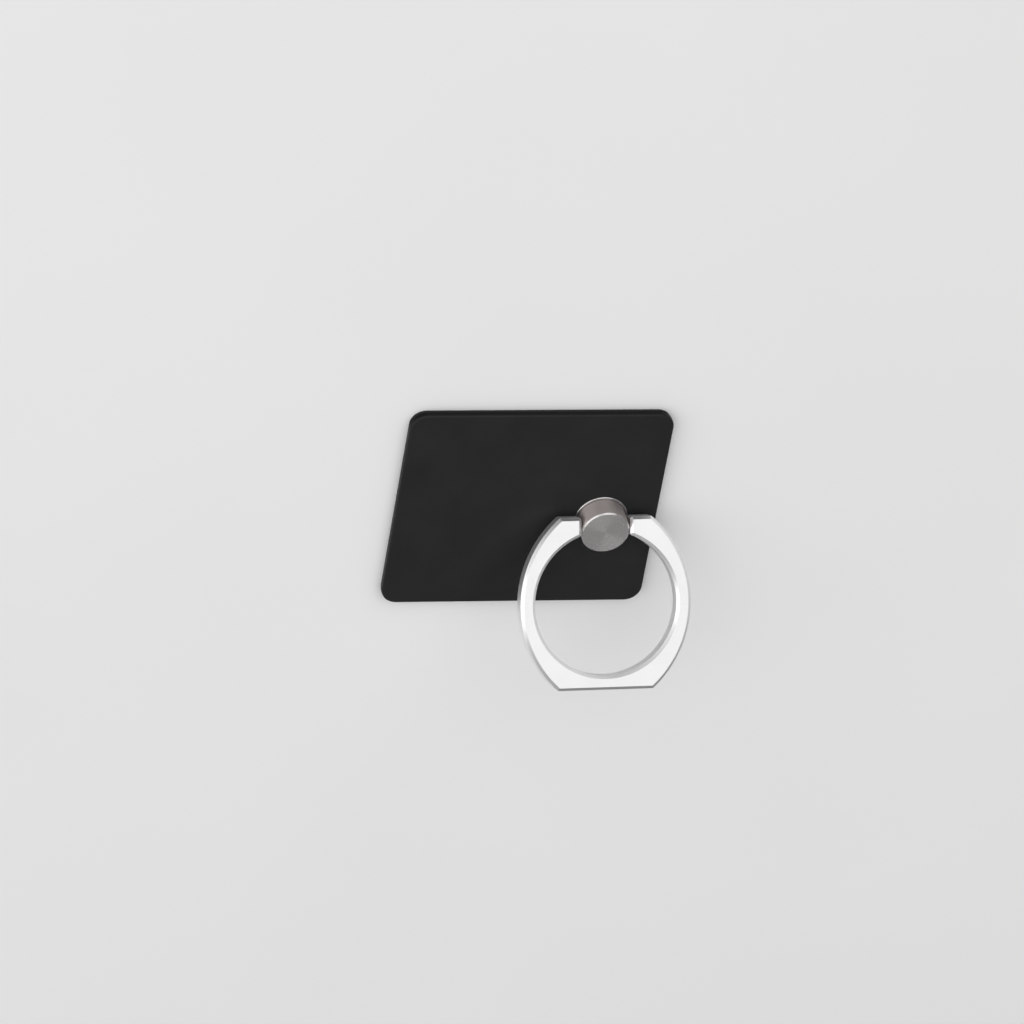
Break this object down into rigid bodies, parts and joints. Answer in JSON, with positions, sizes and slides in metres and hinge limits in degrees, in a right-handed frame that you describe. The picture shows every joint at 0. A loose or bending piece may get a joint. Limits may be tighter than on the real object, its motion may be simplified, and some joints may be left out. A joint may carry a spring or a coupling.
{
  "type": "phone ring holder",
  "caption": "Stick-on black plate with a swivelling steel post that carries a hinged flat finger ring, used as a grip or a stand.",
  "frame": {"origin": "centre of the sticky face of the adhesive pad", "axes": "+Z leaves the sticky face through the plate, +X runs along the plate's long side towards the post, and the ring leans out over the -Y edge"},
  "size_m": [0.0447, 0.0403, 0.0178],
  "materials": {
    "satin_black": "satin black coating, fine grain",
    "foam_adhesive": "matt black foam with a sticky face",
    "turned_steel": "satin, with fine turning marks",
    "spring_steel": "plain rolled",
    "satin_silver": "pale satin plating on a casting"
  },
  "bodies": {
    "base": {"base_plate": "satin_black", "adhesive_pad": "foam_adhesive"},
    "swivel": {"swivel_post": "turned_steel", "slip_washer": "turned_steel", "spring_washer": "spring_steel", "backing_washer": "spring_steel", "pivot_pin": "turned_steel"},
    "ring": {"finger_ring": "satin_silver"}
  },
  "joints": [
    {"name": "post_swivel", "type": "hinge", "parent": "base", "child": "swivel", "pos_m": [0.0115, -0.0018, 0.0016], "axis": [0, 0, 1], "continuous": true},
    {"name": "ring_hinge", "type": "hinge", "parent": "swivel", "child": "ring", "pos_m": [0.0115, -0.0018, 0.00403], "axis": [-0.9997, -0.0227, 0], "range_deg": [-32, 148]}
  ]
}
